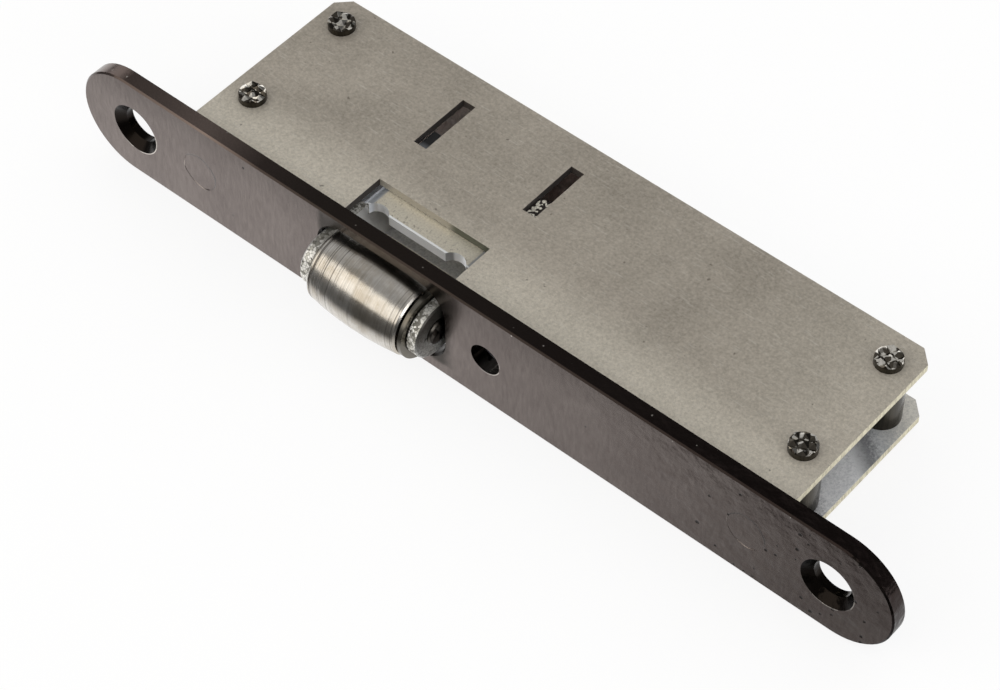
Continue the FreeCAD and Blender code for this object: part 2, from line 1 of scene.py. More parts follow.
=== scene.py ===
# %% [markdown]
# # Roller mortise lock
# This lesson dresses a lock whose shapes are already made. The lock is a dark
# lacquered faceplate with a bright barrel roller, and a flat zinc plated case
# behind it. We load the solids, aim a camera, lay a bench under the lock, give
# each piece the finish that the real one has, and light it all at the end.

# %% Load the solids
import math
import random

import bmesh
import bpy
from mathutils import Matrix, Vector


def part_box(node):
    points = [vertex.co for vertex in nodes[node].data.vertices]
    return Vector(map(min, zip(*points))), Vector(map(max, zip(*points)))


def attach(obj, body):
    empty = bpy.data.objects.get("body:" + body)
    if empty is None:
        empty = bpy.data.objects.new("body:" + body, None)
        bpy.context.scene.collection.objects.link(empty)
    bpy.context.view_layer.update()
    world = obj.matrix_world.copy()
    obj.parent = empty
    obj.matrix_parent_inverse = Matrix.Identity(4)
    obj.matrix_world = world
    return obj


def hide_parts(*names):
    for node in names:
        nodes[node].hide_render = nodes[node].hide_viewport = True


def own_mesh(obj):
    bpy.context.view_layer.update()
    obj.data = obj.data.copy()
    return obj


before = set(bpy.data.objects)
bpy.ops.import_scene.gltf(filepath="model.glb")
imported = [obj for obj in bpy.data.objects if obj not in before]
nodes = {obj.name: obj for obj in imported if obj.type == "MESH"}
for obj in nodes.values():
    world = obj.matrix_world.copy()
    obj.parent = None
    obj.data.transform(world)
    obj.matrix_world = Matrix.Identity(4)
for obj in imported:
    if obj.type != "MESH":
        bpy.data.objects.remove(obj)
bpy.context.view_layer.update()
mm = 0.001


# %% [markdown]
# ## Two helpers
# What we make shows only once it is linked to the scene, and new pieces are
# placed by the corners of the solids they belong to. Both are needed often, so
# each is a helper.

# %% Linking and corners
def link(thing):
    bpy.context.scene.collection.objects.link(thing)
    return thing


def corners(name):
    """The lowest and the highest corner of a solid."""
    return [Vector(corner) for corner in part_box(name)]


print("roller from", *corners("roller"))


# %% [markdown]
# ## The camera
# The picture we match was taken from the front right, looking steeply down.
# A long lens keeps the edges nearly parallel. We place the camera by its
# position and the point it looks at, because that is how a photographer
# would describe it, and add the small tilt that a hand-held frame has.

# %% Camera
camera_place = Vector((207.87, -232.03, 376.63)) * mm
camera_target = Vector((5.30, 4.14, -0.25)) * mm
camera_tilt = math.radians(0.286)

camera_data = bpy.data.cameras.new("camera")
camera_data.sensor_fit = "HORIZONTAL"
camera_data.sensor_width = 36.0
camera_data.lens = 106.9
camera_data.clip_start = 0.01
camera_data.clip_end = 20.0
camera = link(bpy.data.objects.new("camera", camera_data))
look = (camera_target - camera_place).to_track_quat("-Z", "Y").to_matrix()
look = look @ Matrix.Rotation(-camera_tilt, 3, "Z")
camera.matrix_world = Matrix.Translation(camera_place) @ look.to_4x4()
bpy.context.scene.camera = camera
print("camera distance in metres:", round((camera_target - camera_place).length, 3))


# %% [markdown]
# ## The bench
# The lock lies on its side. It touches the bench with the long edge of the
# faceplate and with the staked ends of the rear posts, so it leans back by
# between three and four degrees. We lean the floor instead of the lock,
# because the solids stay where they were made.

# %% Floor
stake_tip = 0.62 * mm
floor_reach = 3.0

plate_low, plate_high = corners("faceplate")
post_low, post_high = corners("post_rear_left")
front_contact = Vector((0, plate_high.y, plate_low.z))
rear_contact = Vector((0, (post_low.y + post_high.y) / 2, post_low.z - stake_tip))
lean = math.atan2(rear_contact.z - front_contact.z, rear_contact.y - front_contact.y)

floor_mesh = bpy.data.meshes.new("floor")
floor_corners = [(-1, -1), (1, -1), (1, 1), (-1, 1)]
floor_mesh.from_pydata(
    [(x * floor_reach, y * floor_reach, 0) for x, y in floor_corners], [], [(0, 1, 2, 3)]
)
floor = link(bpy.data.objects.new("floor", floor_mesh))
floor.matrix_world = Matrix.Translation(front_contact) @ Matrix.Rotation(lean, 4, "X")
print("bench leans by", round(math.degrees(lean), 2), "degrees")


# %% [markdown]
# ## Building node materials
# Each finish below is a graph of nodes, made in code. Classes keep that short,
# each built on the one before. The first adds a node and feeds its sockets: a
# socket is linked, and a plain number or colour is set on the node itself.

# %% Nodes and sockets
class Graph:
    """A node tree that can add nodes and feed their sockets."""

    def __init__(self, tree):
        self.tree = tree

    def feed(self, socket, value):
        if isinstance(value, bpy.types.NodeSocket):
            self.tree.links.new(value, socket)
        elif socket.type == "RGBA":
            socket.default_value = (*value, 1.0)
        else:
            socket.default_value = value

    def add(self, kind, inputs=None, **settings):
        node = self.tree.nodes.new(kind)
        for key, value in settings.items():
            setattr(node, key, value)
        for key, value in (inputs or {}).items():
            self.feed(node.inputs[key], value)
        return node


print("Graph:", Graph.__doc__)


# %% [markdown]
# ## Sums
# Where something lies on a piece is a sum of coordinates, such as the distance
# from a hole's middle. One node does one operation, so short names let a line
# of code read like the sum it stands for.

# %% Sums
class Sums(Graph):
    """Arithmetic on sockets."""

    def maths(self, operation, first, second=0.0):
        node = self.add("ShaderNodeMath", {0: first, 1: second}, operation=operation)
        return node.outputs["Value"]

    def plus(self, first, second):
        return self.maths("ADD", first, second)

    def minus(self, first, second):
        return self.maths("SUBTRACT", first, second)

    def times(self, first, second):
        return self.maths("MULTIPLY", first, second)

    def away(self, value):
        """The size of a value, without its sign."""
        return self.maths("ABSOLUTE", value)

    def reach(self, across, up):
        """The distance that two offsets make."""
        return self.maths("SQRT", self.plus(self.times(across, across), self.times(up, up)))

    def split(self, vector):
        """The three parts of a vector."""
        return self.add("ShaderNodeSeparateXYZ", {"Vector": vector}).outputs


print("Sums:", Sums.__doc__)


# %% [markdown]
# ## Masks
# A mask is a value from 0 to 1 over the surface. Limits, the larger and the
# smaller of two values and a smooth step pick out any region of a piece, and
# nothing is painted by hand.

# %% Masks
class Masks(Sums):
    """Values from 0 to 1 that pick out a region."""

    def more_than(self, value, limit):
        return self.maths("GREATER_THAN", value, limit)

    def less_than(self, value, limit):
        return self.maths("LESS_THAN", value, limit)

    def invert(self, mask):
        return self.minus(1.0, mask)

    def chain(self, operation, result, *others):
        for value in others:
            result = self.maths(operation, result, value)
        return result

    def either(self, *values):
        return self.chain("MAXIMUM", *values)

    def both(self, *values):
        return self.chain("MINIMUM", *values)

    def map_range(self, value, low, high, start=0.0, end=1.0, **settings):
        ends = {"From Min": low, "From Max": high, "To Min": start, "To Max": end}
        node = self.add("ShaderNodeMapRange", {"Value": value, **ends}, **settings)
        return node.outputs["Result"]

    def step(self, value, low, high, start=0.0, end=1.0):
        """A smooth change between two places."""
        return self.map_range(value, low, high, start, end, interpolation_type="SMOOTHSTEP")

    def fall(self, value, low, high):
        """A smooth fall from 1 to 0."""
        return self.step(value, low, high, 1.0, 0.0)


print("Masks:", Masks.__doc__)


# %% [markdown]
# ## Colours
# A ramp turns a pattern into colours, and a mix lays one colour over another
# where a mask says so.

# %% Colours
class Colours(Masks):
    """Ramps and mixes."""

    def ramp(self, value, stops):
        node = self.add("ShaderNodeValToRGB", {"Fac": value})
        elements = node.color_ramp.elements
        while len(elements) < len(stops):
            elements.new(0.5)
        for element, (place, colour) in zip(elements, stops):
            element.position = place
            element.color = (*colour, 1.0)
        return node.outputs["Color"]

    def mix(self, factor, first, second, blend="MIX"):
        """Lay the second colour over the first."""
        node = self.add(
            "ShaderNodeMix", {0: factor, 6: first, 7: second}, data_type="RGBA", blend_type=blend
        )
        return node.outputs[2]

    def tint(self, colour, filtered):
        """One colour seen through another."""
        return self.mix(1.0, colour, filtered, "MULTIPLY")


def grey(level):
    return (level, level, level)


print("Colours:", Colours.__doc__)


# %% [markdown]
# ## Patterns
# Noise and cells are laid over the object's own metres, so a grain has the
# same size on every piece and stays with the piece when it moves. Stretching
# the metres first turns a noise into rings, streaks or scratches.

# %% Patterns on the surface
class Finish(Colours):
    """A material with a Principled shader."""

    def __init__(self, name):
        self.material = bpy.data.materials.new(name)
        self.material.use_nodes = True
        super().__init__(self.material.node_tree)
        self.shader = self.tree.nodes["Principled BSDF"]
        spot = self.add("ShaderNodeTexCoord")
        self.where = spot.outputs["Object"]
        self.facing = spot.outputs["Normal"]
        self.x, self.y, self.z = self.split(self.where)

    def looks(self, axis):
        """How squarely the surface looks along an axis, from 0 to 1."""
        return self.away(self.split(self.facing)[axis])

    def laid(self, scale=(1.0, 1.0, 1.0), turn=(0, 0, 0), shift=(0, 0, 0)):
        """The object's metres, scaled, turned in degrees and shifted."""
        turned = tuple(math.radians(angle) for angle in turn)
        values = {"Vector": self.where, "Location": shift, "Rotation": turned, "Scale": scale}
        return self.add("ShaderNodeMapping", values).outputs["Vector"]

    def noise(self, scale, detail=3.0, roughness=0.55, along=None):
        values = {"Scale": scale, "Detail": detail, "Roughness": roughness}
        values["Vector"] = along or self.where
        return self.add("ShaderNodeTexNoise", values).outputs["Fac"]

    def spread(self, noise, low, high):
        """A noise, which keeps near its middle, spread between two values."""
        return self.map_range(noise, 0.3, 0.7, low, high)

    def cells(self, scale, along=None, **settings):
        """The distance to a cell's middle, and three random numbers."""
        values = {"Vector": along or self.where, "Scale": scale}
        node = self.add("ShaderNodeTexVoronoi", values, **settings)
        drawn = self.add("ShaderNodeSeparateColor", {"Color": node.outputs["Color"]}).outputs
        return node.outputs["Distance"], drawn["Red"], drawn["Green"], drawn["Blue"]

    def bump(self, height, depth, under=None):
        values = {"Height": height, "Distance": depth, "Strength": 1.0}
        if under:
            values["Normal"] = under
        return self.add("ShaderNodeBump", values).outputs["Normal"]

    def set(self, **values):
        """Feed the shader's sockets and hand over the material."""
        for key, value in values.items():
            self.feed(self.shader.inputs[key.replace("_", " ")], value)
        return self.material


def tally(material):
    return "%s has %d nodes" % (material.name, len(material.node_tree.nodes))


print("Finish:", Finish.__doc__)


# %% [markdown]
# ## The faceplate's lacquer
# The faceplate is steel under a thin brown-black lacquer, so thin that it
# mirrors like dark metal. Its skin is not flat, and we build it up in layers.
# The first is a faint ring over each of the two studs that hold the case: a
# step in height at the stud's rim, a little out of round. It could be cut into
# the mesh, but a bump is enough here.

# %% Rings over the studs
stud_reach = 59.3 * mm
stud_rim = 3.7 * mm
ring_slope = 0.14 * mm
ring_wander = 0.12 * mm


def stud_ring(finish):
    """A shallow dish over each stud, as a height from 0 to 1."""
    across = finish.minus(finish.away(finish.x), stud_reach)
    radius = finish.reach(across, finish.z)
    wander = finish.spread(finish.noise(300.0, 2.0, 0.5), -ring_wander, ring_wander)
    uneven = finish.plus(radius, wander)
    return finish.step(uneven, stud_rim - ring_slope, stud_rim + ring_slope)


print("stud rings at", round(stud_reach / mm, 1), "mm")


# %% [markdown]
# ## Pits and chips
# The lacquer has pinhole pits, hardly any at the left and many at the right
# end, and a few bright chips along its top edge. Both are cells: each cell has
# a random number, and only those above a limit get a dot. The pits' cells are
# flat, because a solid pattern would cut most of them off beside the surface.

# %% Pits and chips
pit_scale, chip_scale = 520.0, 620.0


def pits(finish):
    """0 in small round pits, 1 elsewhere."""
    flat = finish.laid(turn=(90, 0, 0))
    distance, red, green, _ = finish.cells(pit_scale, flat, voronoi_dimensions="2D")
    limit = finish.step(finish.x, 50.0 * mm, 79.0 * mm, 0.994, 0.68)
    unchosen = finish.invert(finish.more_than(red, limit))
    hollow = finish.step(finish.minus(distance, finish.times(green, 0.13)), 0.02, 0.11)
    edge_on = finish.fall(finish.looks("Y"), 0.90, 0.98)
    return finish.either(hollow, unchosen, edge_on)


def chips(finish):
    """1 in small bright dots along the top edge."""
    distance, _, green, _ = finish.cells(chip_scale)
    near_edge = finish.step(finish.z, 10.0 * mm, 10.7 * mm)
    dot = finish.fall(distance, 0.05, 0.13)
    return finish.both(dot, near_edge, finish.more_than(green, 0.72))


print("cells for pits are", round(1 / pit_scale / mm, 1), "mm wide")


# %% [markdown]
# ## Painted rims and arcs
# A thin bright line on the rim of each hole, at the lower right, is a painted
# highlight. Each stud's ring gets a light arc at the lower left, a painted
# highlight, and a dark arc at the upper right, painted shade, as the ring's
# shallow step would catch and lose the light. A thin line round a middle is a
# narrow peak in the distance from it.

# %% Painted rims and arcs
plate_holes = ((-75.0, 5.1), (5.6, 3.05), (75.0, 5.1))
rim_highlight_width = 0.16


def hole_rim_highlights(finish):
    """1 on a thin broken ring around each hole: a painted highlight."""
    rings = []
    z = finish.z
    for middle, radius in plate_holes:
        across = finish.minus(finish.x, middle * mm)
        off = finish.minus(finish.reach(across, z), (radius + rim_highlight_width / 2) * mm)
        inner, outer = 0.3 * rim_highlight_width * mm, 0.7 * rim_highlight_width * mm
        ring = finish.fall(finish.away(off), inner, outer)
        lower_right = finish.step(finish.minus(across, z), 0.0, 6.0 * mm, 0.0, 0.8)
        rings.append(finish.both(ring, lower_right))
    unbroken = finish.step(finish.noise(260.0), 0.38, 0.5)
    return finish.both(finish.either(*rings), unbroken)


def stud_arcs(finish):
    """A painted highlight arc and a painted shade arc over each stud."""
    x, z = finish.x, finish.z
    outwards = finish.minus(finish.away(x), stud_reach)
    sign = finish.times(finish.minus(finish.more_than(x, 0.0), 0.5), 2.0)
    across = finish.times(outwards, sign)
    wander = finish.spread(finish.noise(300.0, 2.0, 0.5), -0.2 * mm, 0.2 * mm)
    off = finish.plus(finish.minus(finish.reach(across, z), stud_rim), wander)
    line = finish.fall(finish.away(off), 0.05 * mm, 0.16 * mm)
    slant = finish.plus(across, z)
    light = finish.both(line, finish.fall(slant, -4.2 * mm, -1.8 * mm))
    dark = finish.both(line, finish.step(slant, 3.0 * mm, 4.5 * mm))
    strength = finish.step(x, 0.0, 10.0 * mm, 1.0, 0.75)
    return finish.times(light, strength), finish.times(dark, strength)


print("holes:", len(plate_holes))


# %% [markdown]
# ## Painted shade by the mouth
# The lacquer above the mouth and to its right is painted nearly black: painted
# shade, with the dark reflection of the roller and the ear. The mask is the
# distance from the mouth's box, counted less upwards and more to the left and
# below, and made ragged with a noise.

# %% Painted shade by the mouth
mouth_left, mouth_right = -30.0 * mm, -4.2 * mm
mouth_top = 7.9 * mm


def clear_of_mouth_shade(finish):
    """0 in the painted shade, 1 away from it."""
    x, z = finish.x, finish.z
    rightwards = finish.minus(x, mouth_right)
    leftwards = finish.times(finish.minus(mouth_left, x), 2.2)
    aside = finish.either(rightwards, leftwards, 0.0)
    above = finish.times(finish.either(finish.minus(z, mouth_top), 0.0), 0.45)
    below = finish.times(finish.minus(-mouth_top, z), 3.0)
    edge = finish.reach(aside, finish.either(above, below))
    ragged = finish.plus(edge, finish.spread(finish.noise(500.0), -0.5 * mm, 0.5 * mm))
    return finish.step(ragged, 0.2 * mm, 3.4 * mm)


print("mouth is", round((mouth_right - mouth_left) / mm, 1), "mm long")


# %% [markdown]
# ## The lacquer's relief
# Bumps are chained, each on the normal of the one before: orange peel, slanted
# brush marks, soft lumps that grow towards the right end, the rings and the
# pits. The depths are real ones, in fractions of a millimetre.

# %% Lacquer relief
def lacquer_relief(finish, grain, whole):
    """The lacquer's normal."""
    peel = finish.bump(finish.noise(1400.0, 3.0, 0.6), 0.006 * mm)
    brushed = finish.bump(grain, 0.012 * mm, peel)
    ripple = finish.times(finish.noise(950.0, 2.0, 0.5), 0.24)
    lumps = finish.plus(finish.noise(280.0, 2.0, 0.5), ripple)
    towards_right = finish.step(finish.x, 10.0 * mm, 70.0 * mm)
    lumpy = finish.bump(finish.times(lumps, towards_right), 0.36 * mm, brushed)
    ringed = finish.bump(stud_ring(finish), 0.24 * mm, lumpy)
    return finish.bump(whole, 0.14 * mm, ringed)


print("relief: peel, brush marks, lumps, rings, pits")


# %% [markdown]
# ## The lacquer's tones
# The front is mottled brown, and nearly black in the painted shade by the mouth.
# The rim's tone along X is painted light: a painted highlight near the left
# end and a painted dark reflection at the right. The insides of the holes and
# the mouth never see the light and are painted deep shade, and the narrow
# bevel between front and rim is part way there.

# %% Lacquer tones
deep_shade = (0.014, 0.011, 0.009)
mouth_shade_tone = (0.052, 0.043, 0.036)
front_tones = [(0.34, (0.136, 0.109, 0.100)), (0.66, (0.226, 0.190, 0.174))]
rim_light_tones = [
    (0.0, (0.17, 0.13, 0.115)),
    (0.06, (0.32, 0.25, 0.22)),
    (0.14, (0.092, 0.070, 0.062)),
    (0.24, (0.064, 0.050, 0.043)),
    (0.42, (0.066, 0.051, 0.044)),
    (1.0, (0.034, 0.025, 0.023)),
]


def lacquer_front(finish, cloud, grain):
    mottle = finish.plus(finish.times(cloud, 0.45), finish.times(grain, 0.55))
    # Painted shade by the mouth: the lacquer there is nearly black.
    return finish.mix(clear_of_mouth_shade(finish), mouth_shade_tone, finish.ramp(mottle, front_tones))


def lacquer_rim(finish, squarely):
    x = finish.x
    # Painted light along the rim: a painted highlight at the left end, dark at the right.
    rim = finish.ramp(finish.step(x, -80.0 * mm, 70.0 * mm), rim_light_tones)
    bevel = finish.step(squarely, 0.12, 0.35, 0.0, 0.4)
    past_ends = finish.more_than(finish.away(x), 82.2 * mm)
    past_sides = finish.more_than(finish.away(finish.z), 9.0 * mm)
    indoors = finish.invert(finish.either(past_ends, past_sides))
    return finish.mix(finish.either(bevel, indoors), rim, deep_shade)


print("rim tones:", len(rim_light_tones))


# %% [markdown]
# ## The lacquer as a whole
# The tones, the wear and the relief come together in one material. It is set
# almost fully metallic, since what we see is steel through a thin dark coat.

# %% Lacquer
pit_dark = (0.03, 0.025, 0.022)
arc_shade, arc_highlight = (0.035, 0.028, 0.025), (0.42, 0.37, 0.34)
bare_steel_and_highlight = (0.78, 0.72, 0.66)


def lacquer():
    finish = Finish("dark_lacquer")
    cloud = finish.noise(60.0, 3.0, 0.6)
    slanted = finish.laid(turn=(0, -38, 0), scale=(1.0, 1.0, 0.22))
    grain = finish.noise(1500.0, 4.0, 0.65, slanted)
    whole = pits(finish)
    squarely = finish.looks("Y")
    rim, front = lacquer_rim(finish, squarely), lacquer_front(finish, cloud, grain)
    tone = finish.mix(finish.step(squarely, 0.92, 0.99), rim, front)
    tone = finish.mix(whole, pit_dark, tone)
    light, dark = stud_arcs(finish)
    # Painted highlight and painted shade arcs over the studs.
    tone = finish.mix(light, finish.mix(dark, tone, arc_shade), arc_highlight)
    # The holes' bright rim lines are painted highlights; the chips on the top edge are real.
    chips_and_highlights = finish.either(hole_rim_highlights(finish), chips(finish))
    return finish.set(
        Base_Color=finish.mix(chips_and_highlights, tone, bare_steel_and_highlight),
        Metallic=0.96,
        Roughness=finish.spread(cloud, 0.20, 0.26),
        Normal=lacquer_relief(finish, grain, whole),
    )


dark_lacquer = lacquer()
print(tally(dark_lacquer))


# %% [markdown]
# ## Zinc plated sheet
# The case is cut from steel sheet with a thin zinc coat. The flat faces carry
# straight hairline scratches: noise squeezed into thin lines, once for each of
# three directions. The cut edges need a finish of their own, and the mask for
# that looks at which way the surface faces, because the edges don't look along
# Z. The folded back wall doesn't either, so its position picks it out.

# %% Scratches and flat faces
scratch_turns = ((35, 0.0), (-58, 0.31), (8, 0.74))
sheet_inner, sheet_inner_low = 5.75 * mm, 5.85 * mm
wall_front, wall_end = 36.0 * mm, 54.0 * mm


def scratches(finish):
    """1 on thin straight hairlines."""
    lines = []
    for turn, shift in scratch_turns:
        squeezed = finish.laid((1.0, 16.0, 1.0), (0, 0, turn), (shift, shift * 0.7, 0))
        lines.append(finish.step(finish.noise(260.0, 2.0, 0.5, squeezed), 0.66, 0.72))
    return finish.either(*lines)


def flat_mask(finish):
    """1 on the plates and the back wall, 0 on cut edges."""
    z = finish.z
    level = finish.step(finish.looks("Z"), 0.45, 0.6)
    behind = finish.more_than(finish.y, wall_front)
    between = finish.fall(finish.away(z), sheet_inner, sheet_inner_low)
    folded = finish.either(between, finish.less_than(z, -5.8 * mm))
    rearward = finish.step(finish.looks("Y"), 0.6, 0.7)
    before_end = finish.less_than(finish.away(finish.x), wall_end)
    return finish.either(level, finish.both(behind, folded, rearward, before_end))


print("scratches run in", len(scratch_turns), "directions")


# %% [markdown]
# ## The plates' outer faces
# The outside is a warm, slightly cloudy grey. It is lighter where it has been
# handled, near the faceplate and towards the right end, and it has a few small
# dark marks. Each of these is one more mix over the last.

# %% Outer faces
zinc_tones = [(0.36, (0.355, 0.318, 0.264)), (0.64, (0.600, 0.542, 0.460))]
handled_tones = [(0.35, (0.67, 0.62, 0.52)), (0.65, (0.92, 0.855, 0.73))]
scratch_tone, mark_tone = (0.82, 0.79, 0.72), (0.12, 0.10, 0.08)


def outer_zinc(finish, cloud, speckle):
    mottle = finish.plus(finish.times(cloud, 0.32), finish.times(speckle, 0.68))
    near_plate = finish.fall(finish.y, 6.0 * mm, 20.0 * mm)
    at_right = finish.step(finish.x, 28.0 * mm, 66.0 * mm, 0.0, 0.45)
    handled = finish.either(finish.times(near_plate, 0.85), at_right)
    light = finish.ramp(speckle, handled_tones)
    zinc = finish.mix(handled, finish.ramp(mottle, zinc_tones), light)
    zinc = finish.mix(finish.times(scratches(finish), 0.40), zinc, scratch_tone)
    marks = finish.step(finish.noise(700.0, 2.0, 0.5), 0.735, 0.77)
    return finish.mix(finish.times(marks, 0.6), zinc, mark_tone)


print("outer zinc:", zinc_tones[0][1], "to", zinc_tones[1][1])


# %% [markdown]
# ## The plates' inner faces
# Inside, the zinc is clean and cooler. At the right end, where one can look in
# between the plates, the tone along Y is painted light: painted shade near the
# faceplate, a painted highlight, and a dark band that is a painted reflection
# of the rear post, with a ragged edge. Under the slots the zinc is painted
# darker and browner, as painted shade.

# %% Inner faces
clean_tones = [(0.35, (0.70, 0.71, 0.72)), (0.62, grey(1.0))]
cool_tint = (0.9, 0.91, 0.93)
end_light_tones = [
    (0.0, (0.30, 0.30, 0.31)),
    (0.17, grey(0.96)),
    (0.46, grey(1.0)),
    (0.59, (0.30, 0.30, 0.31)),
    (0.70, (0.66, 0.67, 0.67)),
    (0.95, (0.80, 0.77, 0.70)),
]
slot_shade_left, slot_shade_right = (1.10, 0.97, 0.88), (0.80, 0.64, 0.57)


def painted_end_light(finish, speckle):
    """The painted light along Y at the right end, leaning with X."""
    leaning = finish.times(finish.minus(finish.x, 63.0 * mm), 0.8)
    ragged = finish.spread(speckle, -1.4 * mm, 1.4 * mm)
    along = finish.plus(finish.plus(finish.y, leaning), ragged)
    return finish.ramp(finish.map_range(along, 12.0 * mm, 40.0 * mm), end_light_tones)


def inner_zinc(finish, speckle):
    x = finish.x
    at_end = finish.step(x, 30.0 * mm, 45.0 * mm)
    # Painted shade, highlight and reflected dark band at the right end.
    shade = finish.mix(at_end, cool_tint, painted_end_light(finish, speckle))
    clean = finish.tint(finish.ramp(speckle, clean_tones), shade)
    from_fork = finish.away(finish.minus(x, -17.5 * mm))
    beside_fork = finish.fall(from_fork, 26.0 * mm, 30.0 * mm)
    # Painted shade: the zinc under the slots is darkened and warmed.
    under_slots = finish.both(beside_fork, finish.step(finish.y, 24.0 * mm, 28.0 * mm))
    brown = finish.mix(finish.step(x, -28.0 * mm, -20.0 * mm), slot_shade_left, slot_shade_right)
    return finish.mix(under_slots, clean, finish.tint(clean, brown))


print("end tones:", len(end_light_tones))


# %% [markdown]
# ## The plates' cut edges
# Round the outside the press has left bare steel, pale and streaked across the
# sheet. The walls of the window and of the slots are darker: greenish at the
# right of the window, and almost black in the slots and on the short sides.

# %% Cut edges
bare_tones = [(0.35, (0.42, 0.38, 0.27)), (0.6, (0.74, 0.69, 0.50))]
window_left, window_right = (0.50, 0.46, 0.38), (0.12, 0.125, 0.09)
slot_wall, short_wall = (0.09, 0.075, 0.065), (0.060, 0.052, 0.048)


def cut_edges(finish):
    x, y = finish.x, finish.y
    streaks = finish.noise(1.0, 4.0, 0.7, finish.laid((2600.0, 2600.0, 500.0)))
    wall = finish.mix(finish.step(x, -15.0 * mm, -12.5 * mm), window_left, window_right)
    wall = finish.mix(finish.more_than(y, 20.0 * mm), wall, slot_wall)
    wall = finish.mix(finish.step(finish.looks("X"), 0.5, 0.7), wall, short_wall)
    at_ends = finish.more_than(finish.away(x), 61.0 * mm)
    outer = finish.either(at_ends, finish.more_than(y, 39.5 * mm))
    return finish.mix(outer, wall, finish.ramp(streaks, bare_tones))


print("bare edge:", bare_tones[0][1], "to", bare_tones[1][1])


# %% [markdown]
# ## The case as a whole
# One material dresses both plates. The inner faces are hardly metallic, so the
# soft light that finds its way in shows them as it does on the real case.

# %% Case plates
def case_plate():
    finish = Finish("zinc_sheet")
    cloud = finish.noise(55.0, 5.0, 0.62)
    speckle = finish.noise(2100.0, 4.0, 0.75)
    grain = finish.noise(3400.0, 2.0, 0.6)
    inside = finish.fall(finish.away(finish.z), 6.4 * mm, 6.8 * mm)
    outer, inner = outer_zinc(finish, cloud, speckle), inner_zinc(finish, speckle)
    flat = flat_mask(finish)
    flat_shine = finish.step(flat, 0.0, 1.0, 0.35, 0.5)
    inner_shine = finish.step(inside, 0.0, 1.0, 0.5, 0.12)
    return finish.set(
        Base_Color=finish.mix(flat, cut_edges(finish), finish.mix(inside, outer, inner)),
        Metallic=finish.both(flat_shine, inner_shine),
        Roughness=finish.spread(cloud, 0.40, 0.50),
        Normal=finish.bump(speckle, 0.010 * mm, finish.bump(grain, 0.004 * mm)),
    )


case_zinc = case_plate()
print(tally(case_zinc))


# %% [markdown]
# ## The fork's parts
# The fork is the same kind of sheet, folded, but each of its parts looks
# different: the round noses of the ears, their outer cheeks, the lugs in the
# slots, and the web with its front edge, painted near-white as a painted
# highlight, and its bend. The fork is one solid, so masks made from position
# and facing find them.

# %% Parts of the fork
fork_middle = -17.55 * mm
ear_inner = 11.0 * mm
web_front = 9.7 * mm
lug_front = 20.0 * mm
web_level = 3.6 * mm


def fork_parts(finish):
    """A mask for each part of the fork."""
    y = finish.y
    off_centre = finish.minus(finish.x, fork_middle)
    ear = finish.step(finish.away(off_centre), ear_inner - 0.3 * mm, ear_inner)
    rim = finish.fall(finish.looks("X"), 0.4, 0.6)
    upright = finish.fall(finish.looks("Z"), 0.4, 0.6)
    high = finish.more_than(finish.z, web_level)
    nose = finish.less_than(y, web_front)
    fold = finish.fall(y, web_front + 0.25 * mm, web_front + 0.4 * mm)
    left_side = finish.fall(off_centre, -10.5 * mm, -10.0 * mm)
    return {
        "nose": finish.both(ear, rim, nose),
        "cheek": finish.both(ear, finish.invert(rim), nose),
        "lug": finish.both(ear, rim, finish.more_than(y, lug_front)),
        "web": finish.both(finish.invert(ear), finish.invert(upright), high),
        "web_edge": finish.both(finish.either(upright, fold), high, rim),
        "bend": finish.both(left_side, high),
        "right": finish.more_than(off_centre, 0.0),
    }


print("fork middle at", round(fork_middle / mm, 2), "mm")


# %% [markdown]
# ## Torn metal
# The press has torn the fork's cut edges, and the zinc over them looks like
# crushed sugar: small facets, each with its own tilt. Cells give each facet a
# tone, and their borders are the dark cracks between them.

# %% Torn facets
facet_scale = 1800.0
facet_tones = [(0.12, (0.20, 0.19, 0.16)), (0.35, (0.62, 0.60, 0.53)), (0.65, (0.98, 0.96, 0.90))]
crack_tone, facet_shade = (0.05, 0.045, 0.04), (0.12, 0.115, 0.10)


def cracks(finish):
    """1 on the borders between facets."""
    values = {"Vector": finish.where, "Scale": facet_scale}
    gaps = finish.add("ShaderNodeTexVoronoi", values, feature="DISTANCE_TO_EDGE")
    return finish.fall(gaps.outputs["Distance"], 0.01, 0.07)


def torn_facets(finish, chance, crack):
    """The facets' tones, with painted shade towards the top."""
    facet = finish.mix(crack, finish.ramp(chance, facet_tones), crack_tone)
    # Painted shade towards the top of the facets.
    shaded = finish.step(finish.z, 3.5 * mm, 5.5 * mm, 0.0, 0.55)
    return finish.mix(shaded, facet, facet_shade)


print("facets are about", round(1 / facet_scale / mm, 2), "mm across")


# %% [markdown]
# ## Web, lugs and cheeks
# The web is beige with a crackle that fades away from its front. The left lug
# is smooth and darker towards its rear, and the right one is torn, bright on
# black. The right ear's cheek is painted light: painted shade above, grey
# below.

# %% Web, lugs and cheeks
web_tones = [(0.35, (0.78, 0.72, 0.59)), (0.65, (0.98, 0.92, 0.77))]
web_crackle = (0.16, 0.13, 0.10)
smooth_lug = [(0.0, (0.62, 0.66, 0.68)), (0.30, (0.34, 0.36, 0.38)), (0.85, grey(0.04))]
torn_lug = [(0.30, (0.035, 0.028, 0.024)), (0.46, (0.82, 0.78, 0.67))]
lug_crack, cheek_crack = (0.03, 0.025, 0.02), (0.04, 0.035, 0.03)
cheek_shade, cheek_lit = (0.075, 0.070, 0.062), (0.50, 0.50, 0.48)


